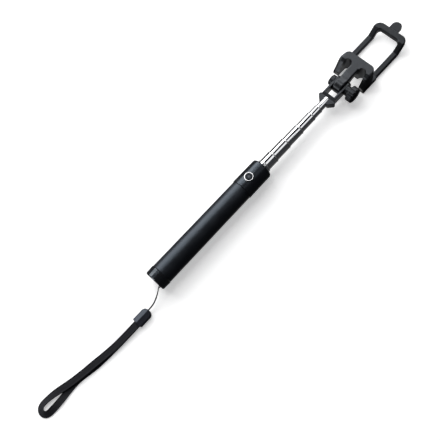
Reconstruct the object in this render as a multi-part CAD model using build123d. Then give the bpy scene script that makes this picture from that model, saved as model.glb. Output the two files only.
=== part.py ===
from build123d import *
import math
import os

# Telescopic selfie stick, millimetres. The stick lies along +X, from the end cap to the pull tab
# of the phone clamp, and rests on z = 0. +Z is up, through the shutter button, and +Y is the side
# of the hinge nut. Stations along the stick are counted from the end cap while a piece is drawn,
# and every piece is moved back by half the length of the stick as it is written.

# driving dimensions
LENGTH = 440.2
AXIS_Z = 14.2
FIT = 0.05

# handle
CAP_LENGTH = 12.0
CAP_R = 14.2
CAP_END_R = 13.8
GRIP_END = 148.0
GRIP_R = (13.6, 13.2)
LINER_R = 11.6
LINER_BORE_R = 8.9
COLLAR_END = 185.4
COLLAR_R = (13.9, 13.6)
COLLAR_WALL = 1.2
COLLAR_NOSE_ROUND = 3.0
BUTTON_X = 162.6
BEZEL_R = 6.0
BEZEL_BORE_R = 4.7
BEZEL_TOP = 14.3
BUTTON_R = 4.5
BUTTON_FLANGE_R = 5.1
BOARD_Z = 8.95
BOARD_T = 1.0
CELL_SIZE = (26.0, 8.0, 3.2)
PORT_X = 176.0

# lanyard fitting in the end cap
LANYARD_Y = -7.2
LANYARD_Z = 10.0
LANYARD_RECESS_R = 3.6
LANYARD_RECESS_DEPTH = 5.4
LANYARD_PIN_R = 0.75
LANYARD_PIN_X = 2.6

# telescopic tubes: outer radius and the station of each mouth, from the base tube to the smallest
TUBE_R = (8.6, 8.0, 7.4, 6.8, 6.2, 5.6, 5.0)
MOUTH_X = (189.1, 204.5, 227.3, 250.9, 273.5, 286.5, 302.6)
TUBE_WALL = 0.3
BASE_REAR_X = 14.0
FIRST_TUBE_LENGTH = 172.0
TUBE_STEP = 3.0
TAIL_LENGTH = 3.0
TUBE_COUNT = 6

# fork and hinge
HUB_X = 295.0
HUB_HALF = 11.9
HUB_HALF_HEIGHT = 4.3
SLOT_BOTTOM_X = 306.8
PRONG_OUT = 9.4
PRONG_IN = 6.4
PRONG_HALF_HEIGHT = 6.0
PRONG_END_X = 336.0
HINGE_X = 326.5
BOLT_R = 2.5
NUT_R = 6.9
NUT_LENGTH = 5.2
WASHER_T = 0.25
KNOB_R = 10.1
KNOB_Y = (-14.8, -22.9)
KNOB_FLUTES = 12
KNOB_NECK_R = 6.4

# phone clamp
BLOCK_TOP = 24.2
BARREL_R = BLOCK_TOP - AXIS_Z
BARREL_HALF = 6.05
NECK_ROUND = 2.0
LEG_X = 342.0
POCKET_X = 352.8
FACE_X = 366.4
LEG_IN = 15.9
LEG_OUT = 24.0
LEG_TIP_TOP = 8.2
LEG_CREST_ROUND = 4.0
LIP_HALF = 20.0
PAD_HALF = 15.8
ROD_Y = 19.35
ROD_Z = 2.7
ROD_R = 2.0
ROD_BORE_R = 1.45
ROD_REAR_X = 345.6
ROD_FRONT_X = 402.0
STOP_R = 2.7
STOP_T = 1.6
LEG_BORE_R = 3.1
LEG_BORE_Z = 3.7
SPRING_R = 1.05
SPRING_WIRE_R = 0.2

# spring-loaded frame
RAIL_OUT = 23.0
RAIL_IN = 15.65
RAIL_T = 5.0
RAMP_X = (409.2, 419.0)
RAMP_RISE = 9.7
BAR_X = (419.2, 428.1)
FRAME_CORNER_R = 9.0
FRAME_EDGE_ROUND = 1.6
TAB_HALF = 6.5
TAB_T = 3.6

# wrist strap
STRING_D = 1.1
WEB_WIDTH = 8.5
WEB_T = 1.1
BEAD_X = (-48.4, -28.3)
BEAD_Y = -15.7
BEAD_SIZE = (20.1, 13.0, 8.0)
BEAD_EAVE = 5.6
BEAD_RIDGE_ROUND = 1.0
BEAD_RIM_ROUND = 1.2

# The string leaves the bead, rises to the cap, turns round the pin in its recess and comes back
# under itself, crossing just outside the cap.
STRING_ROUTE = [
    (-28.3, -14.9, 4.8),
    (-23.4, -14.9, 4.8),
    (-17.2, -14.1, 6.0),
    (-11.2, -12.1, 7.7),
    (-5.8, -9.7, 9.4),
    (-1.6, -7.3, 10.7),
    (1.3, -5.75, 10.75),
    (4.05, -5.75, 10.3),
    (4.05, -8.65, 9.7),
    (1.2, -8.6, 9.2),
    (-2.3, -6.6, 9.0),
    (-5.4, -9.2, 8.0),
    (-10.9, -12.0, 6.3),
    (-16.8, -14.1, 4.6),
    (-23.2, -15.1, 3.4),
    (-28.3, -15.1, 3.4),
]

# The webbing leaves the bead, runs out, turns back in a narrow eye and returns below itself.
WEB_ROUTE = [
    (-48.4, -16.3, 4.5),
    (-58.0, -16.3, 4.5),
    (-72.0, -16.1, 3.9),
    (-87.0, -15.4, 3.7),
    (-101.0, -13.7, 3.75),
    (-115.0, -11.7, 3.8),
    (-130.0, -9.9, 3.75),
    (-145.0, -7.3, 3.5),
    (-158.5, -3.9, 3.0),
    (-169.0, -1.3, 2.5),
    (-178.4, 0.1, 2.2),
    (-187.6, 0.2, 2.1),
    (-191.7, -3.6, 2.1),
    (-192.0, -9.0, 2.1),
    (-188.1, -12.8, 2.1),
    (-178.6, -12.9, 2.0),
    (-166.0, -12.1, 1.5),
    (-152.0, -10.3, 1.0),
    (-139.0, -9.9, 0.8),
    (-126.5, -12.1, 0.75),
    (-113.5, -14.5, 0.7),
    (-100.0, -15.3, 0.7),
    (-86.0, -15.9, 0.8),
    (-72.0, -16.2, 1.1),
    (-58.0, -16.5, 2.3),
    (-48.4, -16.5, 2.3),
]

os.makedirs("parts", exist_ok=True)


def write(name, *solids):
    """Write one node, moved so that the stick is centred on the origin."""
    shape = solids[0] if len(solids) == 1 else Compound(children=list(solids))
    export_step(Pos(-LENGTH / 2, 0, 0) * shape, f"parts/{name}.step")


def on_axis(shape):
    return Pos(0, 0, AXIS_Z) * shape


def rod(x0, x1, r, y=0.0, z=AXIS_Z):
    """A round bar along X."""
    bar = Rot(0, 90, 0) * Cylinder(r, x1 - x0, align=(Align.CENTER, Align.CENTER, Align.MIN))
    return Pos(x0, y, z) * bar


def cross_rod(y0, y1, r, x=HINGE_X, z=AXIS_Z):
    """A round bar along Y, from the lower y to the higher one."""
    bar = Rot(-90, 0, 0) * Cylinder(r, y1 - y0, align=(Align.CENTER, Align.CENTER, Align.MIN))
    return Pos(x, y0, z) * bar


def upright(z0, z1, r, x, y=0.0):
    """A round bar along Z, with heights counted from the stick's axis."""
    bar = Cylinder(r, z1 - z0, align=(Align.CENTER, Align.CENTER, Align.MIN))
    return Pos(x, y, AXIS_Z + z0) * bar


def block(x, y, z):
    """A box from three (low, high) pairs."""
    size = (x[1] - x[0], y[1] - y[0], z[1] - z[0])
    centre = ((x[0] + x[1]) / 2, (y[0] + y[1]) / 2, (z[0] + z[1]) / 2)
    return Pos(*centre) * Box(*size)


def turned(*outline):
    """A solid of revolution about the stick's axis, from (station, radius) points."""
    face = make_face(Polyline(*outline, close=True))
    return on_axis(revolve(face, Axis.X))


def side_plate(outline, y0, y1):
    """An outline of (x, z) points, drawn in side view and extruded from y0 to y1."""
    wire = Polyline(*[(x, 0, z) for x, z in outline], close=True)
    plate = extrude(make_face(wire), y1 - y0, dir=(0, 1, 0))
    return Pos(0, y0, 0) * plate


def both_sides(shape):
    return shape + mirror(shape, about=Plane.XZ)


def tube_bore(k):
    return TUBE_R[k] - TUBE_WALL


def tube_length(k):
    return FIRST_TUBE_LENGTH - TUBE_STEP * (k - 1)


def tube_rear(k):
    return BASE_REAR_X if k == 0 else MOUTH_X[k] - tube_length(k)


# end cap, with the recess and pin that the wrist string turns round
def make_end_cap():
    spigot_r = LINER_R - 1.6
    cap = turned(
        (0, 0),
        (0, CAP_END_R - 1.0),
        (1.0, CAP_END_R),
        (CAP_LENGTH - 0.5, CAP_R),
        (CAP_LENGTH, CAP_R - 0.5),
        (CAP_LENGTH, spigot_r),
        (CAP_LENGTH + 1.6, spigot_r),
        (CAP_LENGTH + 1.6, LINER_BORE_R),
        (8.0, LINER_BORE_R),
        (8.0, 0),
    )
    recess = rod(-1, LANYARD_RECESS_DEPTH, LANYARD_RECESS_R, LANYARD_Y, LANYARD_Z)
    return cap - recess - lanyard_pin()


def lanyard_pin():
    half = LANYARD_RECESS_R + 1.8
    middle = LANYARD_Z - AXIS_Z
    return upright(middle - half, middle + half, LANYARD_PIN_R, LANYARD_PIN_X, LANYARD_Y)


# grip, liner and collar
def make_grip():
    return turned(
        (CAP_LENGTH, LINER_R),
        (CAP_LENGTH, GRIP_R[0] - 0.4),
        (CAP_LENGTH + 0.6, GRIP_R[0]),
        (GRIP_END - 0.4, GRIP_R[1]),
        (GRIP_END, GRIP_R[1] - 0.3),
        (GRIP_END, LINER_R),
    )


def make_liner():
    end = COLLAR_END - 6.0
    liner = rod(CAP_LENGTH, end, LINER_R) - rod(0, end + 1, LINER_BORE_R)
    liner -= rod(0, CAP_LENGTH + 1.6, LINER_R - 1.6)
    top = AXIS_Z + BOARD_Z
    liner -= block((151, end + 1), (-5.7, 5.7), (top, top + 5))
    half = CELL_SIZE[1] / 2 + 0.1
    liner -= block((152, end + 1), (-half, half), (0, AXIS_Z - 7))
    return liner - block((PORT_X - 4, end + 1), (6, 14), (AXIS_Z - 1.6, AXIS_Z + 1.6))


def make_collar():
    inside = COLLAR_R[1] - COLLAR_WALL
    collar = turned(
        (GRIP_END, LINER_R),
        (GRIP_END, COLLAR_R[0] - 0.4),
        (GRIP_END + 0.5, COLLAR_R[0]),
        (COLLAR_END, COLLAR_R[1]),
        (COLLAR_END, 10.4),
        (COLLAR_END - 4.0, 10.4),
        (COLLAR_END - 4.0, inside),
        (GRIP_END + 2.0, inside),
        (GRIP_END + 2.0, LINER_R),
    )
    rim = collar.edges().filter_by(GeomType.CIRCLE).filter_by(lambda e: e.radius > 13.5)
    collar = fillet(rim.sort_by(Axis.X)[-1], COLLAR_NOSE_ROUND)
    collar -= upright(5, 20, BEZEL_R, BUTTON_X)
    return collar - block((PORT_X - 3.8, PORT_X + 3.8), (6, 16), (AXIS_Z - 1.4, AXIS_Z + 1.4))


def make_nose_ring():
    ring = rod(COLLAR_END - 4.8, COLLAR_END - 0.6, 10.4) - rod(0, COLLAR_END, TUBE_R[0])
    return chamfer(ring.edges().filter_by(GeomType.CIRCLE).sort_by(Axis.X)[-1], 0.5)


# shutter button and what is under it
def make_bezel():
    bezel = upright(BOARD_Z + BOARD_T + 1.6, BEZEL_TOP, BEZEL_R, BUTTON_X)
    rim = bezel.edges().filter_by(GeomType.CIRCLE).sort_by(Axis.Z)[-1]
    bezel = fillet(rim, 0.9)
    bezel -= upright(0, 20, BEZEL_BORE_R, BUTTON_X)
    return bezel - upright(0, 12.9, BUTTON_FLANGE_R + 0.2, BUTTON_X)


def make_button():
    button = upright(12.0, BEZEL_TOP + 0.3, BUTTON_R, BUTTON_X)
    button = fillet(button.edges().filter_by(GeomType.CIRCLE).sort_by(Axis.Z)[-1], 0.8)
    button += upright(12.0, 12.8, BUTTON_FLANGE_R, BUTTON_X)
    return button + upright(11.75, 12.0, 1.5, BUTTON_X)


def make_button_dome():
    """The rubber dome that lifts the button, with a skirt on the circuit board."""
    outline = [(2.2, 11.6), (3.0, 11.9), (3.4, 11.9), (4.4, 9.95), (3.9, 9.95), (3.0, 11.3)]
    wire = Polyline(*[(r, 0, AXIS_Z + z) for r, z in outline], close=True)
    return Pos(BUTTON_X, 0, 0) * revolve(make_face(wire), Axis.Z)


def make_board():
    low = AXIS_Z + BOARD_Z
    return block((152.0, 180.0), (-5.5, 5.5), (low, low + BOARD_T))


def make_switch():
    low = AXIS_Z + BOARD_Z + BOARD_T
    return block((BUTTON_X - 2, BUTTON_X + 2), (-2, 2), (low, low + 0.9)) + upright(
        BOARD_Z + BOARD_T + 0.9, BOARD_Z + BOARD_T + 1.25, 1.2, BUTTON_X
    )


def make_cell():
    length, width, height = CELL_SIZE
    top = AXIS_Z - 8.75
    cell = block((153, 153 + length), (-width / 2, width / 2), (top - height, top))
    return fillet(cell.edges().filter_by(Axis.X), 0.8)


def make_charge_port():
    shell = block((PORT_X - 3.7, PORT_X + 3.7), (9.2, 13.1), (AXIS_Z - 1.3, AXIS_Z + 1.3))
    mouth = block((PORT_X - 3.3, PORT_X + 3.3), (10.0, 14), (AXIS_Z - 0.9, AXIS_Z + 0.9))
    tongue = block((PORT_X - 2.2, PORT_X + 2.2), (9.6, 12.4), (AXIS_Z - 0.3, AXIS_Z + 0.3))
    return shell - mouth + tongue


# telescopic tubes
def make_tube(k):
    """Tube k, whose mouth is rolled in to guide the next tube."""
    r, bore, mouth = TUBE_R[k], tube_bore(k), MOUTH_X[k]
    guide = TUBE_R[k + 1] + FIT if k < TUBE_COUNT else bore
    return turned(
        (tube_rear(k), bore),
        (tube_rear(k), r),
        (mouth - 0.6, r),
        (mouth - 0.15, r - 0.1),
        (mouth, r - 0.3),
        (mouth, guide + 0.02),
        (mouth - 0.1, guide),
        (mouth - 1.6, guide),
        (mouth - 2.0, bore),
    )


def make_tail(k):
    """The plastic tail that guides tube k in its parent and holds the friction clip."""
    rear, bore, flange = tube_rear(k), tube_bore(k), tube_bore(k - 1) - FIT
    return turned(
        (rear - TAIL_LENGTH, bore - 1.2),
        (rear - TAIL_LENGTH, flange),
        (rear - 2.2, flange),
        (rear - 2.2, flange - 0.45),
        (rear - 0.8, flange - 0.45),
        (rear - 0.8, flange),
        (rear, flange),
        (rear, bore),
        (rear + 2.9, bore),
        (rear + 2.9, bore - 1.2),
    )


def make_clip(k):
    """The split bronze ring in the tail's groove."""
    rear, flange = tube_rear(k), tube_bore(k - 1) - FIT
    ring = rod(rear - 2.2, rear - 0.8, flange + 0.02) - rod(rear - 3, rear, flange - 0.45)
    return ring - block((rear - 3, rear), (-0.8, 0.8), (AXIS_Z, AXIS_Z + 12))


def make_base_plug():
    rear = BASE_REAR_X
    plug = rod(rear - 4.0, rear, LINER_BORE_R - 0.1) + rod(rear, rear + 3.0, tube_bore(0))
    return plug - rod(rear - 3.0, rear + 4, tube_bore(0) - 1.5)


# head: bush in the smallest tube, fork and hinge
def make_head_bush():
    bush = rod(291.0, MOUTH_X[-1] - 0.1, tube_bore(TUBE_COUNT)) - rod(290, 310, 2.5 + FIT)
    return bush - rod(290, 293.0, 3.7)


def make_fork_pin():
    return rod(291.2, 292.8, 3.5) + rod(292.8, 305.5, 2.5)


def make_fork():
    """A flat hub that hugs the smallest tube from both sides, a web, and two prongs."""
    half_plan = [
        (HUB_X, 0),
        (HUB_X, HUB_HALF - 5.6),
        (HUB_X + 5.6, HUB_HALF),
        (HUB_X + 7.4, HUB_HALF),
        (HUB_X + 9.9, PRONG_OUT),
        (SLOT_BOTTOM_X, PRONG_OUT),
        (SLOT_BOTTOM_X, 0),
    ]
    plan = make_face(Polyline(*half_plan, close=True))
    low = AXIS_Z - HUB_HALF_HEIGHT
    hub = both_sides(Pos(0, 0, low) * extrude(plan, 2 * HUB_HALF_HEIGHT))
    hub = chamfer(hub.edges().filter_by(Plane.XY).filter_by(GeomType.LINE).group_by(Axis.X)[1:4], 0.6)
    side = [
        (MOUTH_X[-1] + 0.15, AXIS_Z - HUB_HALF_HEIGHT),
        (MOUTH_X[-1] + 0.15, AXIS_Z + HUB_HALF_HEIGHT),
        (SLOT_BOTTOM_X - 0.5, AXIS_Z + PRONG_HALF_HEIGHT),
        (PRONG_END_X - PRONG_HALF_HEIGHT, AXIS_Z + PRONG_HALF_HEIGHT),
        (PRONG_END_X - PRONG_HALF_HEIGHT, AXIS_Z - PRONG_HALF_HEIGHT),
        (SLOT_BOTTOM_X - 0.5, AXIS_Z - PRONG_HALF_HEIGHT),
    ]
    end = cross_rod(PRONG_IN, PRONG_OUT, PRONG_HALF_HEIGHT, PRONG_END_X - PRONG_HALF_HEIGHT)
    fork = hub + side_plate(side, -PRONG_OUT, PRONG_OUT) + both_sides(end)
    fork -= block((SLOT_BOTTOM_X, 350), (-PRONG_IN, PRONG_IN), (0, 30))
    for face_y, size in ((PRONG_OUT, 0.8), (PRONG_IN, 0.5)):
        prongs = fork.edges().filter_by(lambda e: abs(abs(e.center().Y) - face_y) < 0.05)
        fork = fillet(prongs.filter_by(lambda e: e.center().X > SLOT_BOTTOM_X + 2), size)
    fork -= cross_rod(-20, 20, BOLT_R + 0.1)
    fork -= rod(HUB_X - 1, MOUTH_X[-1] + 0.15, TUBE_R[TUBE_COUNT] + 0.1)
    return fork - rod(290, 305.5, 2.5)


def make_nut():
    nut = cross_rod(PRONG_OUT, PRONG_OUT + NUT_LENGTH, NUT_R)
    nut = chamfer(nut.edges().filter_by(GeomType.CIRCLE).sort_by(Axis.Y)[-1], 0.8)
    nut -= cross_rod(0, 20, BOLT_R + FIT)
    slot = block((HINGE_X - 8, HINGE_X + 8), (13.2, 15), (AXIS_Z - 0.8, AXIS_Z + 0.8))
    return nut - slot


def make_washers():
    washer = cross_rod(PRONG_IN - WASHER_T, PRONG_IN, 5.5) - cross_rod(0, 10, BOLT_R + 0.1)
    return [washer, mirror(washer, about=Plane.XZ)]


def make_bolt():
    return cross_rod(KNOB_Y[1] + 2.0, PRONG_OUT + 4.4, BOLT_R)


def make_knob():
    knob = cross_rod(KNOB_Y[1], KNOB_Y[0], KNOB_R)
    knob = fillet(knob.edges().filter_by(GeomType.CIRCLE), 1.2)
    for i in range(KNOB_FLUTES):
        turn = Pos(HINGE_X, 0, AXIS_Z) * Rot(0, 360 * i / KNOB_FLUTES, 0)
        flute = cross_rod(KNOB_Y[1] - 1, KNOB_Y[0] + 1, 1.3, 0, 0)
        knob -= turn * (Pos(KNOB_R + 0.5, 0, 0) * flute)
    neck = cross_rod(KNOB_Y[0], -PRONG_OUT - 0.1, KNOB_NECK_R)
    return knob + neck - cross_rod(KNOB_Y[1] + 2.0, 0, BOLT_R)


# phone clamp
def on_barrel(degrees):
    """A point on the barrel's rim, turned from +X towards +Z."""
    angle = math.radians(degrees)
    return (HINGE_X + BARREL_R * math.cos(angle), 0, AXIS_Z + BARREL_R * math.sin(angle))


def make_neck():
    """Barrel and neck in one plate, with a shallow dip behind the barrel and an arch below."""
    leave = 66
    slope = math.radians(90 - leave)
    top_x = HINGE_X + 17.0
    crest = Spline(
        on_barrel(leave),
        (HINGE_X + 9.0, 0, BLOCK_TOP - 1.6),
        (top_x, 0, BLOCK_TOP),
        tangents=[(math.cos(slope), 0, -math.sin(slope)), (1, 0, 0)],
    )
    face = Polyline(
        (top_x, 0, BLOCK_TOP),
        (FACE_X, 0, BLOCK_TOP),
        (FACE_X, 0, 2.0),
        (POCKET_X, 0, 2.0),
        (POCKET_X, 0, BLOCK_TOP - 10.6),
    )
    arch = Spline(
        (POCKET_X, 0, BLOCK_TOP - 10.6),
        (HINGE_X + 19.5, 0, BLOCK_TOP - 7.5),
        (HINGE_X + 12.5, 0, BLOCK_TOP - 9.6),
        on_barrel(-35),
    )
    barrel = ThreePointArc(on_barrel(-35), on_barrel(180), on_barrel(leave))
    outline = [edge for line in (crest, face, arch, barrel) for edge in line.edges()]
    plate = extrude(make_face(outline), 2 * BARREL_HALF, dir=(0, 1, 0))
    neck = Pos(0, -BARREL_HALF, 0) * plate
    crest_edges = neck.edges().filter_by(
        lambda e: e.center().Z > AXIS_Z + 7 and abs(e.center().Y) > BARREL_HALF - 0.01
    )
    return fillet(crest_edges, NECK_ROUND)


def make_clamp_body():
    """Barrel, neck, wide block and two hollow legs, with the lip that the phone leans on."""
    wall = block((POCKET_X, FACE_X), (-LEG_IN, LEG_IN), (0.8, BLOCK_TOP))
    leg = side_plate(
        [
            (LEG_X, 0),
            (LEG_X, LEG_TIP_TOP),
            (343.8, 10.8),
            (350.2, BLOCK_TOP - 3.2),
            (354.2, BLOCK_TOP),
            (FACE_X, BLOCK_TOP),
            (FACE_X, 0),
        ],
        LEG_IN,
        LEG_OUT,
    )
    crest = leg.edges().filter_by(lambda e: e.center().Y > LEG_OUT - 0.01)
    crest = crest.filter_by(lambda e: e.center().Z > 5.5 and e.center().X < FACE_X - 1)
    leg = fillet(crest, LEG_CREST_ROUND) - lip_corner()
    body = make_neck() + wall + both_sides(leg)
    for side in (1, -1):
        y = side * (BARREL_HALF + LEG_IN) / 2
        reach = (LEG_IN - BARREL_HALF) / 2
        body -= upright(-20, 20, reach, POCKET_X, y)
        body -= rod(LEG_X - 1, FACE_X - 2.4, LEG_BORE_R, side * ROD_Y, LEG_BORE_Z)
        body -= rod(FACE_X - 4, FACE_X + 1, ROD_R + 0.1, side * ROD_Y, ROD_Z)
    body -= cross_rod(-20, 20, BOLT_R + 0.1)
    return body - block((FACE_X - 0.8, 380), (-PAD_HALF, PAD_HALF), (7.4, 23.2))


def lip_corner():
    """What the rounded corner of the lip leaves out, above the rails."""
    corner = [
        (350.0, LEG_OUT + 3),
        (350.0, LEG_OUT),
        (358.0, LEG_OUT - 1.4),
        (363.0, LIP_HALF + 1.2),
        (FACE_X - 0.9, LIP_HALF - 1.2),
        (FACE_X, LIP_HALF - 3.4),
        (FACE_X + 3, LIP_HALF - 3.4),
        (FACE_X + 3, LEG_OUT + 3),
    ]
    return Pos(0, 0, 7.4) * extrude(make_face(Polyline(*corner, close=True)), 30)


def make_jaw_pad():
    pad = block((FACE_X - 0.8, FACE_X + 0.8), (-PAD_HALF, PAD_HALF), (7.4, 23.2))
    for i in range(5):
        z = 9.6 + 2.9 * i
        pad -= block((FACE_X + 0.3, 380), (-LIP_HALF, LIP_HALF), (z, z + 0.9))
    return pad


def frame_side():
    """The frame in side view: level rails, a ramp, and the raised end."""
    return [
        (FACE_X + 0.6, 0.2),
        (FACE_X + 0.6, 0.2 + RAIL_T),
        (RAMP_X[0] - 1.5, 0.2 + RAIL_T),
        (RAMP_X[1] - 1.0, 0.2 + RAIL_T + RAMP_RISE),
        (BAR_X[1], 0.2 + RAIL_T + RAMP_RISE),
        (BAR_X[1], 0.2 + RAMP_RISE),
        (RAMP_X[1] + 1.5, 0.2 + RAMP_RISE),
        (RAMP_X[0] + 1.0, 0.2),
    ]


def on_frame_top(edge):
    """Whether an edge runs along the frame's upper skin, and not across it."""
    a, b, middle = edge @ 0, edge @ 1, edge.center()
    if abs(a.X - b.X) < 0.01 and abs(a.Z - b.Z) < 0.01:
        return False
    skin = frame_side()[1:5]
    for (x0, z0), (x1, z1) in zip(skin, skin[1:]):
        height = z0 + (z1 - z0) * (middle.X - x0) / (x1 - x0)
        if x0 - 0.3 <= middle.X <= x1 + 0.3 and abs(middle.Z - height) < 0.35:
            return True
    return False


def frame_plan():
    """The U of the frame in plan: its outer shape less its opening."""
    outer = Rectangle(130, 2 * RAIL_OUT, align=(Align.MAX, Align.CENTER))
    ends = outer.vertices().group_by(Axis.X)[-1]
    outer = Pos(BAR_X[1], 0) * fillet(ends, FRAME_CORNER_R)
    inner = Rectangle(130, 2 * RAIL_IN, align=(Align.MAX, Align.CENTER))
    ends = inner.vertices().group_by(Axis.X)[-1]
    inner = Pos(BAR_X[0], 0) * fillet(ends, FRAME_CORNER_R - 4.5)
    return outer - inner


def make_frame():
    """The rubber-covered frame whose raised end is the upper jaw, and its pull tab."""
    profile = side_plate(frame_side(), -RAIL_OUT, RAIL_OUT)
    frame = profile & extrude(frame_plan(), 30)
    frame = fillet([e for e in frame.edges() if on_frame_top(e)], FRAME_EDGE_ROUND)
    top = 0.2 + RAIL_T + RAMP_RISE - 0.5
    tab_end = LENGTH - TAB_HALF
    tab = block((BAR_X[1] - 2, tab_end), (-TAB_HALF, TAB_HALF), (top - TAB_T, top))
    tab += Pos(tab_end, 0, top - TAB_T / 2) * Cylinder(TAB_HALF, TAB_T)
    frame += tab
    for side in (1, -1):
        frame -= rod(FACE_X, ROD_FRONT_X, ROD_R, side * ROD_Y, ROD_Z)
    return frame


def make_rods():
    rods = []
    for side in (1, -1):
        tube = rod(ROD_REAR_X, ROD_FRONT_X, ROD_R, side * ROD_Y, ROD_Z)
        tube -= rod(ROD_REAR_X - 1, ROD_FRONT_X - 2.0, ROD_BORE_R, side * ROD_Y, ROD_Z)
        rods.append(tube)
    return rods


def make_stops():
    """Open clips on the rods' rear ends, which stop against the front of the legs' bores."""
    stops = []
    for side in (1, -1):
        y = side * ROD_Y
        clip = rod(ROD_REAR_X, ROD_REAR_X + STOP_T, STOP_R, y, LEG_BORE_Z)
        clip -= rod(ROD_REAR_X - 1, ROD_REAR_X + STOP_T + 1, ROD_R, y, ROD_Z)
        clip -= block((ROD_REAR_X - 1, ROD_REAR_X + STOP_T + 1), (y - 4, y + 4), (0, ROD_Z - 0.4))
        stops.append(clip)
    return stops


def make_leg_screws():
    screws = []
    for side in (1, -1):
        y, z = side * ROD_Y, LEG_BORE_Z
        screw = rod(LEG_X + 0.2, ROD_REAR_X - 0.8, LEG_BORE_R, y, z)
        slot = block((LEG_X - 1, LEG_X + 1.0), (y - 4, y + 4), (z - 0.4, z + 0.4))
        screws.append(screw - slot)
    return screws


def make_return_springs():
    """Extension springs inside the hollow rods, drawn as plain sleeves of the coil's size."""
    springs = []
    for side in (1, -1):
        y = side * ROD_Y
        coil = rod(ROD_REAR_X - 0.8, ROD_FRONT_X - 2.0, SPRING_R, y, ROD_Z)
        coil -= rod(ROD_REAR_X - 1, ROD_FRONT_X, SPRING_R - 2 * SPRING_WIRE_R, y, ROD_Z)
        springs.append(coil)
    return springs


# wrist strap
def make_bead():
    length, width, height = BEAD_SIZE
    half = width / 2
    plan = Rectangle(length, width)
    plan = fillet(plan.vertices().group_by(Axis.X)[-1], 5.8)
    plan = fillet(plan.vertices().group_by(Axis.X)[0], 1.2)
    gable = [(-half, 0), (half, 0), (half, BEAD_EAVE), (0, height), (-half, BEAD_EAVE)]
    section = Polygon(*gable, align=None)
    section = fillet(section.vertices().group_by(Axis.Y)[-1], BEAD_RIDGE_ROUND)
    bead = extrude(plan, height) & extrude(Plane.YZ * section, length / 2, both=True)
    upper = bead.edges().filter_by(lambda edge: edge.center().Z > BEAD_EAVE - 0.5)
    rim = upper.filter_by(lambda edge: abs(edge.center().X) > 3 or abs(edge.center().Y) > 1)
    bead = fillet(rim, BEAD_RIM_ROUND)
    return Pos((BEAD_X[0] + BEAD_X[1]) / 2, BEAD_Y, 0) * bead


def cord_path(route):
    """Straight runs joined by arcs as large as their runs allow."""
    points = [Vector(*p) for p in route]
    radii = []
    for before, here, after in zip(points, points[1:], points[2:]):
        turn = (here - before).get_angle(after - here)
        shorter = min((here - before).length, (after - here).length)
        radii.append(0.45 * shorter / math.tan(math.radians(turn) / 2))
    return FilletPolyline(*points, radius=radii), radii


def make_string():
    path, radii = cord_path(STRING_ROUTE)
    plane = Plane(origin=path @ 0, z_dir=path % 0)
    cord = sweep(plane * Circle(STRING_D / 2), path)
    report("strap_string", cord, path, math.pi * STRING_D**2 / 4, radii)
    return cord


def make_webbing():
    path, radii = cord_path(WEB_ROUTE)
    plane = Plane(origin=path @ 0, x_dir=(0, 1, 0), z_dir=path % 0)
    section = plane * Rectangle(WEB_WIDTH, WEB_T)
    strap = sweep(section, path)
    report("strap_webbing", strap, path, WEB_WIDTH * WEB_T, radii)
    return strap


def report(name, cord, path, section, radii):
    share = cord.volume / (path.length * section)
    shown = " ".join(f"{r:.1f}" for r in radii)
    print(f"{name}: {path.length:.1f} mm, volume {share:.3f} of section x length, radii {shown}")
    print(f"{name}: lowest {cord.bounding_box().min.Z:.2f} mm")


write("end_cap", make_end_cap())
write("lanyard_pin", lanyard_pin())
write("grip_sleeve", make_grip())
write("handle_liner", make_liner())
write("collar_shell", make_collar())
write("nose_ring", make_nose_ring())
write("button_bezel", make_bezel())
write("shutter_button", make_button())
write("button_dome", make_button_dome())
write("circuit_board", make_board())
write("tact_switch", make_switch())
write("battery_cell", make_cell())
write("charge_port", make_charge_port())
write("base_tube", make_tube(0))
write("base_plug", make_base_plug())
for number in range(1, TUBE_COUNT + 1):
    write(f"tube_{number}", make_tube(number))
    write(f"tube_{number}_tail", make_tail(number))
    write(f"tube_{number}_clip", make_clip(number))
write("head_bush", make_head_bush())
write("fork_pin", make_fork_pin())
write("head_fork", make_fork())
write("hinge_nut", make_nut())
write("hinge_washers", *make_washers())
write("hinge_bolt", make_bolt())
write("tilt_knob", make_knob())
write("clamp_body", make_clamp_body())
write("jaw_pad", make_jaw_pad())
write("leg_screws", *make_leg_screws())
write("return_springs", *make_return_springs())
write("clamp_frame", make_frame())
write("frame_rods", *make_rods())
write("rod_stops", *make_stops())
write("strap_bead", make_bead())
write("strap_string", make_string())
write("strap_webbing", make_webbing())
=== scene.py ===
import math

import bmesh
import bpy
from mathutils import Matrix, Vector


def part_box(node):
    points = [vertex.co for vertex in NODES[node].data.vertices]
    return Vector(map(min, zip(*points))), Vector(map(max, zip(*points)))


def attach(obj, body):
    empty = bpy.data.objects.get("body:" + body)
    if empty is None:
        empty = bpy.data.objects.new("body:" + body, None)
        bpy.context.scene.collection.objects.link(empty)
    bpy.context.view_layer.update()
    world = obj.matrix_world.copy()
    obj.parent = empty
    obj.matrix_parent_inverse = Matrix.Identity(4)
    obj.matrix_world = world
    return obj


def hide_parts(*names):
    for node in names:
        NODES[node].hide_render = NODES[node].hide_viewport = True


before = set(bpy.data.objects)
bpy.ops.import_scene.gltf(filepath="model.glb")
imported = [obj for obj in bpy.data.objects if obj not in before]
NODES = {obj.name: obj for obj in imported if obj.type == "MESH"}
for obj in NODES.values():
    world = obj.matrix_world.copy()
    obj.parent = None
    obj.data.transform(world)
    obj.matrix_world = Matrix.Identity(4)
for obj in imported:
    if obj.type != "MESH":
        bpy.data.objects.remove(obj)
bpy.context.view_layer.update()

# A telescopic selfie stick, in metres. It lies along +X, from its end cap to its pull tab, and
# its own line is AXIS_Z above the floor. The cap's end face is at CAP_END.
CAP_END = -0.2201
AXIS_Z = 0.0142
TUBE_NUMBERS = range(1, 7)
FULL_TURN = 2 * math.pi


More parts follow.
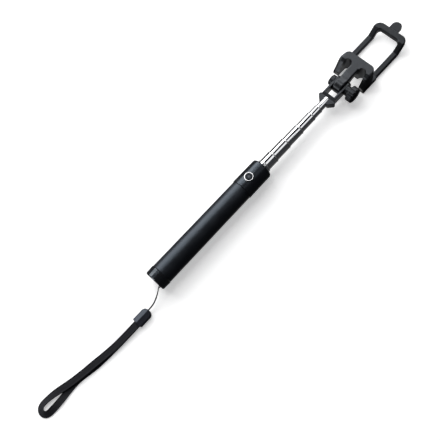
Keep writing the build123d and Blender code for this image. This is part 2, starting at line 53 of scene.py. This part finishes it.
def from_cap(points_mm):
    """Points in millimetres, counted along X from the cap's end, as metres in the frame."""
    return [(x / 1000 + CAP_END, y / 1000, z / 1000) for x, y, z in points_mm]


# ---------------------------------------------------------------- camera
CAMERA_AT = Vector((-0.2321, -0.2510, 0.7490))
CAMERA_AIM = Vector((-0.116283, -0.0062238, 0.0140))
CAMERA_ROLL = math.radians(-22.624)
CAMERA_LENS = 54.82
CAMERA_SENSOR = 36.0
CAMERA_CLIP = (0.01, 50.0)


def add_camera():
    forward = (CAMERA_AIM - CAMERA_AT).normalized()
    right = forward.cross(Vector((0, 0, 1))).normalized()
    up = right.cross(forward)
    turned_x = right * math.cos(CAMERA_ROLL) + up * math.sin(CAMERA_ROLL)
    turned_y = up * math.cos(CAMERA_ROLL) - right * math.sin(CAMERA_ROLL)
    data = bpy.data.cameras.new("camera")
    data.sensor_width = CAMERA_SENSOR
    data.lens = CAMERA_LENS
    data.clip_start, data.clip_end = CAMERA_CLIP
    camera = bpy.data.objects.new("camera", data)
    rows = Matrix((turned_x, turned_y, -forward)).transposed().to_4x4()
    camera.matrix_world = Matrix.Translation(CAMERA_AT) @ rows
    bpy.context.scene.collection.objects.link(camera)
    bpy.context.scene.camera = camera


# ---------------------------------------------------------------- shader nodes
NOISE_SPAN = (0.3, 0.7)  # where nearly all of a noise pattern's values lie


def new_material(name):
    material = bpy.data.materials.new(name)
    material.use_nodes = True
    tree = material.node_tree
    return material, tree, tree.nodes["Principled BSDF"]


def coordinates(tree, kind):
    return tree.nodes.new("ShaderNodeTexCoord").outputs[kind]


def noise(tree, where, grains, detail, squeeze=(1, 1, 1)):
    """Noise of that many grains a metre, drawn out along an axis whose squeeze is under 1."""
    mapping = tree.nodes.new("ShaderNodeMapping")
    mapping.inputs["Scale"].default_value = squeeze
    pattern = tree.nodes.new("ShaderNodeTexNoise")
    pattern.inputs["Scale"].default_value = grains
    pattern.inputs["Detail"].default_value = detail
    tree.links.new(where, mapping.inputs["Vector"])
    tree.links.new(mapping.outputs["Vector"], pattern.inputs["Vector"])
    return pattern.outputs["Fac"]


def ramp(tree, value, low, high):
    """Colour from low to high as noise goes through its span."""
    node = tree.nodes.new("ShaderNodeValToRGB")
    for stop, at, colour in zip(node.color_ramp.elements, NOISE_SPAN, (low, high)):
        stop.position = at
        stop.color = (*colour, 1)
    tree.links.new(value, node.inputs["Fac"])
    return node.outputs["Color"]


def mapped(tree, value, span, result):
    """The value's span mapped to the result's, and held past its ends."""
    node = tree.nodes.new("ShaderNodeMapRange")
    for socket, number in zip(("From Min", "From Max", "To Min", "To Max"), (*span, *result)):
        node.inputs[socket].default_value = number
    tree.links.new(value, node.inputs["Value"])
    return node.outputs["Result"]


def combine(tree, kind, a, b):
    """One step of arithmetic on numbers or on other nodes' outputs."""
    node = tree.nodes.new("ShaderNodeMath")
    node.operation = kind
    for socket, value in zip(node.inputs, (a, b)):
        if isinstance(value, (int, float)):
            socket.default_value = value
        else:
            tree.links.new(value, socket)
    return node.outputs["Value"]


def average(tree, a, b):
    return combine(tree, "MULTIPLY", combine(tree, "ADD", a, b), 0.5)


def bump(tree, shader, height, depth):
    """Relief of that depth in metres."""
    node = tree.nodes.new("ShaderNodeBump")
    node.inputs["Strength"].default_value = 1.0
    node.inputs["Distance"].default_value = depth
    tree.links.new(height, node.inputs["Height"])
    tree.links.new(node.outputs["Normal"], shader.inputs["Normal"])


def scaled(colour, factor):
    return tuple(min(c * factor, 1.0) for c in colour)


# ---------------------------------------------------------------- materials
COOL_TINT = (0.72, 0.85, 1.0)
GREY_TINT = (0.86, 0.92, 1.0)
HANDLE_BLACK = (0.0075, 0.0080, 0.0095)
HEAD_BLACK = (0.0055, 0.0057, 0.0065)
COAT_ROUGHNESS = 0.04

# grains a metre
CLOUD_GRAINS = 70
SCUFF_GRAINS = 260
DRAWN_GRAINS = 2600
SMUDGE_GRAINS = 55
FUZZ_GRAINS = 1500

ALONG_X = (0.01, 1, 1)  # squeezes that draw noise into lines, into short scuffs, or not at all
SCUFFED = (0.25, 1, 1)
EVEN = (1, 1, 1)

# shares of a material's own colour, roughness or relief, from low to high
PLASTIC_DARKEST = 0.8
PLASTIC_GLOSS = (0.86, 1.16)
SCUFF_RELIEF = 0.35
METAL_DARKEST = 0.93
METAL_GLOSS = (0.75, 1.35)
WEAVE_SHADES = (0.5, 1.9)
WEAVE_ROUGHNESS = (0.72, 0.92)
WEAVE_CONTRAST = 0.35
FUZZ_RELIEF = 0.5


def plastic(name, colour, rough, grain=1800, depth=0.00004, specular=0.5, coat=0.0, wear=1.6,
            tint=COOL_TINT):
    """A moulded plastic or rubber: fine grain, cloudy gloss, and slightly paler worn patches."""
    material, tree, shader = new_material(name)
    where = coordinates(tree, "Object")
    cloud = noise(tree, where, CLOUD_GRAINS, 4)
    fine = noise(tree, where, grain, 2)
    scuffs = noise(tree, where, SCUFF_GRAINS, 5, SCUFFED)
    patches = average(tree, cloud, scuffs)
    tree.links.new(ramp(tree, patches, scaled(colour, PLASTIC_DARKEST), scaled(colour, wear)),
                   shader.inputs["Base Color"])
    gloss = [rough * share for share in PLASTIC_GLOSS]
    tree.links.new(mapped(tree, patches, NOISE_SPAN, gloss), shader.inputs["Roughness"])
    shallow_scuffs = combine(tree, "MULTIPLY", scuffs, SCUFF_RELIEF)
    bump(tree, shader, combine(tree, "ADD", fine, shallow_scuffs), depth)
    shader.inputs["Specular IOR Level"].default_value = specular
    shader.inputs["Specular Tint"].default_value = (*tint, 1)
    if coat:
        shader.inputs["Coat Weight"].default_value = coat
        shader.inputs["Coat Roughness"].default_value = COAT_ROUGHNESS
    return material


def metal(name, colour, rough, drawn=ALONG_X, depth=0.000004):
    """Polished or plated metal with fine lines along the way it was drawn, and faint smudges."""
    material, tree, shader = new_material(name)
    where = coordinates(tree, "Object")
    lines = noise(tree, where, DRAWN_GRAINS, 2, drawn)
    smudge = noise(tree, where, SMUDGE_GRAINS, 4)
    tree.links.new(ramp(tree, smudge, scaled(colour, METAL_DARKEST), colour),
                   shader.inputs["Base Color"])
    gloss = [rough * share for share in METAL_GLOSS]
    tree.links.new(mapped(tree, smudge, NOISE_SPAN, gloss), shader.inputs["Roughness"])
    bump(tree, shader, lines, depth)
    shader.inputs["Metallic"].default_value = 1.0
    return material


def woven(name, colour, yarn, rib, depth):
    """Woven webbing: yarns along the band and ribs across it, on the band's own flat map."""
    material, tree, shader = new_material(name)
    where = coordinates(tree, "UV")
    apart = tree.nodes.new("ShaderNodeSeparateXYZ")
    tree.links.new(where, apart.inputs["Vector"])
    waves = []
    for axis, width in (("X", yarn), ("Y", rib)):
        phase = combine(tree, "MULTIPLY", apart.outputs[axis], FULL_TURN / width)
        waves.append(combine(tree, "SINE", phase, 0))
    crossed = combine(tree, "MULTIPLY", *waves)
    weave = combine(tree, "ADD", combine(tree, "MULTIPLY", crossed, WEAVE_CONTRAST), 0.5)
    fuzz = noise(tree, where, FUZZ_GRAINS, 4)
    shades = [scaled(colour, share) for share in WEAVE_SHADES]
    tree.links.new(ramp(tree, average(tree, weave, fuzz), *shades), shader.inputs["Base Color"])
    tree.links.new(mapped(tree, fuzz, NOISE_SPAN, WEAVE_ROUGHNESS), shader.inputs["Roughness"])
    shallow_fuzz = combine(tree, "MULTIPLY", fuzz, FUZZ_RELIEF)
    bump(tree, shader, combine(tree, "ADD", weave, shallow_fuzz), depth)
    shader.inputs["Specular IOR Level"].default_value = 0.3
    shader.inputs["Sheen Weight"].default_value = 0.18
    shader.inputs["Sheen Roughness"].default_value = 0.4
    shader.inputs["Sheen Tint"].default_value = (0.55, 0.60, 0.72, 1)
    return material


def paint(material, *names):
    for name in names:
        mesh = NODES[name].data
        mesh.materials.clear()
        mesh.materials.append(material)


def paint_handle():
    paint(plastic("gloss_black", HANDLE_BLACK, 0.13, grain=500, depth=0.000006, coat=0.4),
          "end_cap")
    paint(plastic("soft_touch_black", (0.009, 0.0095, 0.0115), 0.37, grain=2400,
                  depth=0.00003, specular=0.58), "grip_sleeve")
    paint(plastic("satin_black", HANDLE_BLACK, 0.25, grain=1500, depth=0.00002, specular=0.58),
          "collar_shell", "nose_ring")
    paint(plastic("button_black", (0.004, 0.004, 0.0045), 0.40, grain=900, depth=0.00001,
                  specular=0.25), "shutter_button")
    paint(metal("bezel_nickel", (0.50, 0.50, 0.51), 0.16), "button_bezel")
    paint(plastic("liner_grey", (0.03, 0.03, 0.032), 0.5),
          "handle_liner", "base_plug", "head_bush")
    paint(plastic("dome_silicone", (0.18, 0.18, 0.19), 0.55), "button_dome")
    paint(plastic("board_green", (0.012, 0.10, 0.035), 0.4, wear=1.3), "circuit_board")
    paint(plastic("cell_wrap", (0.05, 0.11, 0.22), 0.35, wear=1.3), "battery_cell")
    paint(plastic("bead_grey", (0.020, 0.020, 0.027), 0.42, grain=1400, depth=0.00003),
          "strap_bead")


def paint_tubes():
    paint(metal("chrome", (0.83, 0.84, 0.86), 0.028),
          "base_tube", *(f"tube_{k}" for k in TUBE_NUMBERS))
    paint(plastic("nylon_white", (0.55, 0.55, 0.52), 0.5, wear=1.1),
          *(f"tube_{k}_clip" for k in TUBE_NUMBERS))


def paint_head():
    paint(plastic("moulded_black", HEAD_BLACK, 0.34, grain=1700, depth=0.00003, specular=0.6,
                  tint=GREY_TINT), "head_fork")
    paint(plastic("knob_black", HEAD_BLACK, 0.36, grain=1700, depth=0.00003, specular=0.42,
                  tint=GREY_TINT), "tilt_knob", "hinge_nut")
    paint(plastic("clamp_black", HEAD_BLACK, 0.34, grain=1500, depth=0.00003, specular=0.6,
                  tint=GREY_TINT), "clamp_body")
    paint(plastic("frame_rubber", HEAD_BLACK, 0.38, grain=2000, depth=0.00004, specular=0.36,
                  tint=GREY_TINT), "clamp_frame")
    paint(plastic("rubber_black", (0.011, 0.011, 0.012), 0.62, grain=2200, depth=0.00006,
                  specular=0.3), "jaw_pad")


def paint_small_metal():
    steel = metal("steel", (0.58, 0.58, 0.58), 0.28, drawn=EVEN)
    paint(steel, "lanyard_pin", "fork_pin", "hinge_washers", "hinge_bolt", "leg_screws",
          "return_springs", "frame_rods", "rod_stops", "tact_switch", "charge_port",
          *(f"tube_{k}_tail" for k in TUBE_NUMBERS))


# ---------------------------------------------------------------- mesh helpers
def add_object(name, data, body):
    piece = bpy.data.objects.new(name, data)
    bpy.context.scene.collection.objects.link(piece)
    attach(piece, body)
    return piece


def mesh_of(bm, name, material):
    """The bmesh as a mesh of that material. The bmesh is let go."""
    mesh = bpy.data.meshes.new(name)
    bm.to_mesh(mesh)
    bm.free()
    mesh.materials.append(material)
    return mesh


def bridge(bm, a, b):
    """The faces between two rings that have as many vertices."""
    count = len(a)
    return [bm.faces.new((a[k], a[(k + 1) % count], b[(k + 1) % count], b[k]))
            for k in range(count)]


def close_round(bm, rings, smooth):
    """Faces from each ring to the next, and from the last to the first."""
    for a, b in zip(rings, rings[1:] + rings[:1]):
        for face in bridge(bm, a, b):
            face.smooth = smooth


def nurbs(name, points):
    """A NURBS spline of order 3 with these control points, through its two ends."""
    curve = bpy.data.curves.new(name, "CURVE")
    curve.dimensions = "3D"
    spline = curve.splines.new("NURBS")
    spline.points.add(len(points) - 1)
    for point, at in zip(spline.points, points):
        point.co = (*at, 1)
    spline.order_u = 3
    spline.use_endpoint_u = True
    return curve


def line_of(curve):
    """The points of a curve's own line, as Blender evaluates them."""
    holder = bpy.data.objects.new(curve.name + ".line", curve)
    mesh = bpy.data.meshes.new_from_object(holder)
    points = [v.co.copy() for v in mesh.vertices]
    bpy.data.objects.remove(holder)
    bpy.data.meshes.remove(mesh)
    return points


# ---------------------------------------------------------------- details
LIP_LENGTH = 0.0012
LIP_HEIGHT = 0.00022  # how far it stands out from the tube
LIP_DEPTH = 0.00012  # how far it goes into the tube's wall
LIP_SETBACK = 0.00045  # from the tube's mouth
LIP_ARCS = 12  # across its section
LIP_STEPS = 96  # round the tube

MARK_DOT = (0.0, 0.00050)  # inner and outer radius
MARK_RING = (0.00105, 0.00140)
MARK_SUNK = 0.00005
MARK_PROUD = 0.00003
MARK_STEPS = 48
SAME_POINT = 1e-7


def add_lip(name, mouth, radius, body, material):
    """A rolled bead round a tube, just behind its mouth."""
    outline = []
    for i in range(LIP_ARCS + 1):
        turn = math.pi * i / LIP_ARCS
        outline.append((mouth - LIP_SETBACK - LIP_LENGTH / 2 * (1 + math.cos(turn)),
                        radius + LIP_HEIGHT * math.sin(turn)))
    outline += [(outline[-1][0], radius - LIP_DEPTH), (outline[0][0], radius - LIP_DEPTH)]
    bm = bmesh.new()
    rings = []
    for i in range(LIP_STEPS):
        angle = FULL_TURN * i / LIP_STEPS
        y, z = math.sin(angle), math.cos(angle)
        rings.append([bm.verts.new((x, r * y, AXIS_Z + r * z)) for x, r in outline])
    close_round(bm, rings, True)
    bmesh.ops.recalc_face_normals(bm, faces=bm.faces)
    add_object(name, mesh_of(bm, name, material), body)


def add_tube_lips(material):
    """A lip on every tube but the last, whose mouth is in the fork."""
    tubes = [("base_tube", "handle")]
    tubes += [(f"tube_{k}", f"section_{k}") for k in TUBE_NUMBERS[:-1]]
    for node, body in tubes:
        low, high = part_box(node)
        add_lip(f"{node}_lip", high.x, (high.y - low.y) / 2, body, material)


def add_button_mark(material):
    """A plain ring and dot printed on the shutter button."""
    low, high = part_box("shutter_button")
    centre = (low + high) / 2
    sunk, proud = high.z - MARK_SUNK, high.z + MARK_PROUD
    bm = bmesh.new()
    for inner, outer in (MARK_DOT, MARK_RING):
        section = [(inner, sunk), (inner, proud), (outer, proud), (outer, sunk)]
        rings = []
        for i in range(MARK_STEPS):
            angle = FULL_TURN * i / MARK_STEPS
            rings.append([bm.verts.new((centre.x + r * math.cos(angle),
                                        centre.y + r * math.sin(angle), z)) for r, z in section])
        close_round(bm, rings, False)
    bmesh.ops.remove_doubles(bm, verts=bm.verts, dist=SAME_POINT)
    bmesh.ops.recalc_face_normals(bm, faces=bm.faces)
    add_object("button_mark", mesh_of(bm, "button_mark", material), "button")


# ---------------------------------------------------------------- cords
STRING_D = 0.0011
STRING_RESOLUTION = 12
STRING_ROUNDNESS = 4
STRING_ROUTE = from_cap([
    (-28.3, -14.9, 4.8), (-23.4, -14.9, 4.8), (-17.2, -14.1, 6.0), (-11.2, -12.1, 7.7),
    (-5.8, -9.7, 9.4), (-1.6, -7.3, 10.7), (1.3, -5.75, 10.75), (4.05, -5.75, 10.3),
    (4.05, -8.65, 9.7), (1.2, -8.6, 9.2), (-2.3, -6.6, 9.0), (-5.4, -9.2, 8.0),
    (-10.9, -12.0, 6.3), (-16.8, -14.1, 4.6), (-23.2, -15.1, 3.4), (-28.3, -15.1, 3.4),
])

WEB_WIDTH = 0.0085
WEB_THICK = 0.0011
WEB_ROUTE = from_cap([
    (-48.4, -16.3, 4.5), (-58.0, -16.3, 4.5), (-72.0, -16.1, 3.9), (-87.0, -15.4, 3.7),
    (-101.0, -13.7, 3.75), (-115.0, -11.7, 3.8), (-130.0, -9.9, 3.75), (-145.0, -7.3, 3.5),
    (-158.5, -3.9, 3.0), (-169.0, -1.3, 2.5), (-178.4, 0.1, 2.2), (-187.6, 0.2, 2.1),
    (-191.7, -3.6, 2.1), (-192.0, -9.0, 2.1), (-188.1, -12.8, 2.1), (-178.6, -12.9, 2.0),
    (-166.0, -12.1, 1.5), (-152.0, -10.3, 1.0), (-139.0, -9.9, 0.8), (-126.5, -12.1, 0.75),
    (-113.5, -14.5, 0.7), (-100.0, -15.3, 0.7), (-86.0, -15.9, 0.8), (-72.0, -16.2, 1.1),
    (-58.0, -16.5, 2.3), (-48.4, -16.5, 2.3),
])
WEB_RESOLUTION = 24
WEB_YARN = 0.0008
WEB_RIB = 0.0008
WEB_RIB_RELIEF = 0.10  # of the half thickness
STEPS_A_RIB = 4
# The band leans outwards round the open eye of its loop, between these lengths along it.
EYE_SPAN = (0.112, 0.178)
EYE_EASE = 0.022
EYE_LEAN = math.radians(24)
SELVEDGE = 0.8  # of the half width; the ribs are inside it


def smooth_step(x):
    x = min(max(x, 0.0), 1.0)
    return x * x * (3 - 2 * x)


def resampled(points, step):
    """The line's points again, an even step apart, their tangents, and its length."""
    lengths = [0.0]
    for a, b in zip(points, points[1:]):
        lengths.append(lengths[-1] + (b - a).length)
    count = max(2, round(lengths[-1] / step))
    found = []
    k = 0
    for i in range(count + 1):
        at = lengths[-1] * i / count
        while k < len(points) - 2 and lengths[k + 1] < at:
            k += 1
        share = (at - lengths[k]) / (lengths[k + 1] - lengths[k])
        found.append(points[k].lerp(points[k + 1], share))
    tangents = []
    for i in range(len(found)):
        a = found[max(i - 1, 0)]
        b = found[min(i + 1, len(found) - 1)]
        tangents.append((b - a).normalized())
    return found, tangents, lengths[-1]


def web_outline():
    """The band's section, as shares of its half width and half thickness: thicker at its edges."""
    edge = [(-1.0, 0.0), (-0.985, 0.62), (-0.93, 1.0), (-0.84, 1.0), (-0.78, 0.72)]
    upper = edge + [(-0.5, 0.86), (-0.2, 0.92), (0.2, 0.92), (0.5, 0.86)]
    upper += [(-across, through) for across, through in reversed(edge)]
    return upper + [(across, -through) for across, through in reversed(upper[1:-1])]


def add_string(material):
    curve = nurbs("lanyard_string", STRING_ROUTE)
    curve.resolution_u = STRING_RESOLUTION
    curve.bevel_depth = STRING_D / 2
    curve.bevel_resolution = STRING_ROUNDNESS
    curve.use_fill_caps = True
    curve.materials.append(material)
    string = add_object("lanyard_string", curve, "handle")
    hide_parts("strap_string")


def add_webbing(material):
    curve = nurbs("webbing_line", WEB_ROUTE)
    curve.resolution_u = WEB_RESOLUTION
    points, tangents, total = resampled(line_of(curve), WEB_RIB / STEPS_A_RIB)
    step = total / (len(points) - 1)
    half = WEB_WIDTH / 2
    outline = web_outline()
    bm = bmesh.new()
    uv = bm.loops.layers.uv.new("UVMap")
    rings = []
    for i, (point, along) in enumerate(zip(points, tangents)):
        at = total * i / (len(points) - 1)
        side = along.cross(Vector((0, 0, 1))).normalized()
        into_eye = smooth_step((at - EYE_SPAN[0]) / EYE_EASE)
        out_of_eye = smooth_step((EYE_SPAN[1] - at) / EYE_EASE)
        side = Matrix.Rotation(EYE_LEAN * into_eye * out_of_eye, 3, along) @ side
        face = side.cross(along)
        rib = 1.0 - WEB_RIB_RELIEF * (0.5 - 0.5 * math.cos(FULL_TURN * at / WEB_RIB))
        ring = []
        for across, through in outline:
            high = rib if abs(across) < SELVEDGE else 1.0
            offset = side * across * half + face * through * high * WEB_THICK / 2
            ring.append(bm.verts.new(point + offset))
        rings.append(ring)
    count = len(outline)
    for i, (a, b) in enumerate(zip(rings, rings[1:])):
        for k, quad in enumerate(bridge(bm, a, b)):
            quad.smooth = True
            n = (k + 1) % count
            corners = ((i, k), (i, n), (i + 1, n), (i + 1, k))
            for loop, (row, column) in zip(quad.loops, corners):
                loop[uv].uv = (outline[column][0] * half, row * step)
    bm.faces.new(rings[0])
    bm.faces.new(reversed(rings[-1]))
    bmesh.ops.recalc_face_normals(bm, faces=bm.faces)
    ribbon = add_object("strap_ribbon", mesh_of(bm, "strap_ribbon", material), "handle")
    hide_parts("strap_webbing")


# ---------------------------------------------------------------- stage
# The stage is pale where it is seen, and darker where it lights the stick or is mirrored in it.
# Only the strip of floor close to the stick's line glows for the stick.
BACKGROUND = (0.93, 0.93, 0.94)
WORLD_LIGHT = (0.04, 0.042, 0.046)
FLOOR_HALF = 4.0
FLOOR_ALBEDO = 0.92
FLOOR_GLOW = 0.45
FLOOR_FAR = (0.8, 2.0)  # where it turns into the background
FLOOR_LIT_ALBEDO = (0.055, 0.055, 0.055)
STRIP_EDGE = (0.009, 0.024)  # from the stick's line
STRIP_GLOW = 0.40


def seen_or_lit(tree, seen, lit):
    """One colour or value to the camera's own rays, and another to all other rays."""
    mix = tree.nodes.new("ShaderNodeMix")
    mix.data_type = "RGBA"
    low, high = [socket for socket in mix.inputs if socket.type == "RGBA"]
    for socket, value in ((high, seen), (low, lit)):
        if isinstance(value, tuple):
            socket.default_value = (*value, 1)
        else:
            tree.links.new(value, socket)
    path = tree.nodes.new("ShaderNodeLightPath")
    tree.links.new(path.outputs["Is Camera Ray"], mix.inputs["Factor"])
    return [socket for socket in mix.outputs if socket.type == "RGBA"][0]


def floor_paper():
    """Pale paper that melts into the background far from the stick."""
    material, tree, shader = new_material("floor_paper")
    shader.inputs["Roughness"].default_value = 0.9
    shader.inputs["Specular IOR Level"].default_value = 0.1
    shader.inputs["Emission Color"].default_value = (1, 1, 1, 1)
    where = coordinates(tree, "Object")
    apart = tree.nodes.new("ShaderNodeSeparateXYZ")
    tree.links.new(where, apart.inputs["Vector"])
    distance = tree.nodes.new("ShaderNodeVectorMath")
    distance.operation = "LENGTH"
    tree.links.new(where, distance.inputs[0])
    away = distance.outputs["Value"]
    aside = combine(tree, "ABSOLUTE", apart.outputs["Y"], 0)
    albedo = mapped(tree, away, FLOOR_FAR, (FLOOR_ALBEDO, 0.0))
    glow = mapped(tree, away, FLOOR_FAR, (FLOOR_GLOW, BACKGROUND[0]))
    strip = mapped(tree, aside, STRIP_EDGE, (STRIP_GLOW, 0.0))
    tree.links.new(seen_or_lit(tree, albedo, FLOOR_LIT_ALBEDO), shader.inputs["Base Color"])
    tree.links.new(seen_or_lit(tree, glow, strip), shader.inputs["Emission Strength"])
    return material


def add_floor():
    bm = bmesh.new()
    bmesh.ops.create_grid(bm, x_segments=8, y_segments=8, size=FLOOR_HALF)
    floor = bpy.data.objects.new("floor", mesh_of(bm, "floor", floor_paper()))
    bpy.context.scene.collection.objects.link(floor)


def add_world():
    world = bpy.data.worlds.new("studio")
    world.use_nodes = True
    tree = world.node_tree
    colour = seen_or_lit(tree, BACKGROUND, WORLD_LIGHT)
    tree.links.new(colour, tree.nodes["Background"].inputs["Color"])
    bpy.context.scene.world = world


# ---------------------------------------------------------------- lights
# name, X, tilt from above towards +Y in degrees, distance, width, height, radiance
LINE_SOFTBOXES = (
    ("key_handle", 0.06, 42, 1.6, 0.64, 1.92, 4.1),
    ("key_strap", -0.52, 56, 1.6, 0.50, 1.00, 4.6),
    ("key_head", 0.94, 55, 1.6, 1.12, 0.94, 4.8),
    ("fill_head", 0.90, 21, 1.6, 0.40, 0.74, 2.3),
    ("overhead_near", 0.43, -15, 1.5, 0.16, 0.86, 1.0),
    ("overhead_far", 0.60, -24, 1.5, 0.18, 0.84, 1.0),
    ("side", -1.35, 70, 1.7, 0.9, 0.7, 2.2),
)
# name, place, X it aims at, width, height, radiance
END_SOFTBOXES = (
    ("near_end", (-1.55, 0.62, 0.22), 0.13, 1.0, 0.42, 4.2),
    ("far_end", (1.50, 0.58, 1.02), 0.1, 0.8, 0.9, 3.2),
)


def add_softbox(name, at, aim_x, width, height, radiance):
    """A softbox at a place in the studio, square to the line from a point on the X axis."""
    data = bpy.data.lights.new(name, "AREA")
    data.shape = "RECTANGLE"
    data.size = width
    data.size_y = height
    data.energy = radiance * math.pi * width * height
    light = bpy.data.objects.new(name, data)
    towards = Vector(at) - Vector((aim_x, 0, 0))
    turn = towards.to_track_quat("Z", "Y").to_matrix().to_4x4()
    light.matrix_world = Matrix.Translation(at) @ turn
    bpy.context.scene.collection.objects.link(light)


def add_lights():
    for name, x, tilt, distance, width, height, radiance in LINE_SOFTBOXES:
        angle = math.radians(tilt)
        at = (x, distance * math.sin(angle), distance * math.cos(angle))
        add_softbox(name, at, x, width, height, radiance)
    for softbox in END_SOFTBOXES:
        add_softbox(*softbox)


add_camera()
paint_handle()
paint_tubes()
paint_head()
paint_small_metal()
add_tube_lips(metal("rolled_edge", (0.55, 0.55, 0.56), 0.5))
add_button_mark(plastic("mark_grey", (0.16, 0.16, 0.17), 0.5, wear=1.2))
add_string(plastic("braid_black", (0.006, 0.006, 0.0065), 0.6, grain=3000, depth=0.0001,
                   specular=0.15))
add_webbing(woven("webbing_black", (0.0075, 0.0078, 0.0105), WEB_YARN, WEB_RIB, depth=0.00018))
add_floor()
add_world()
add_lights()
bpy.context.scene.view_settings.view_transform = "Standard"
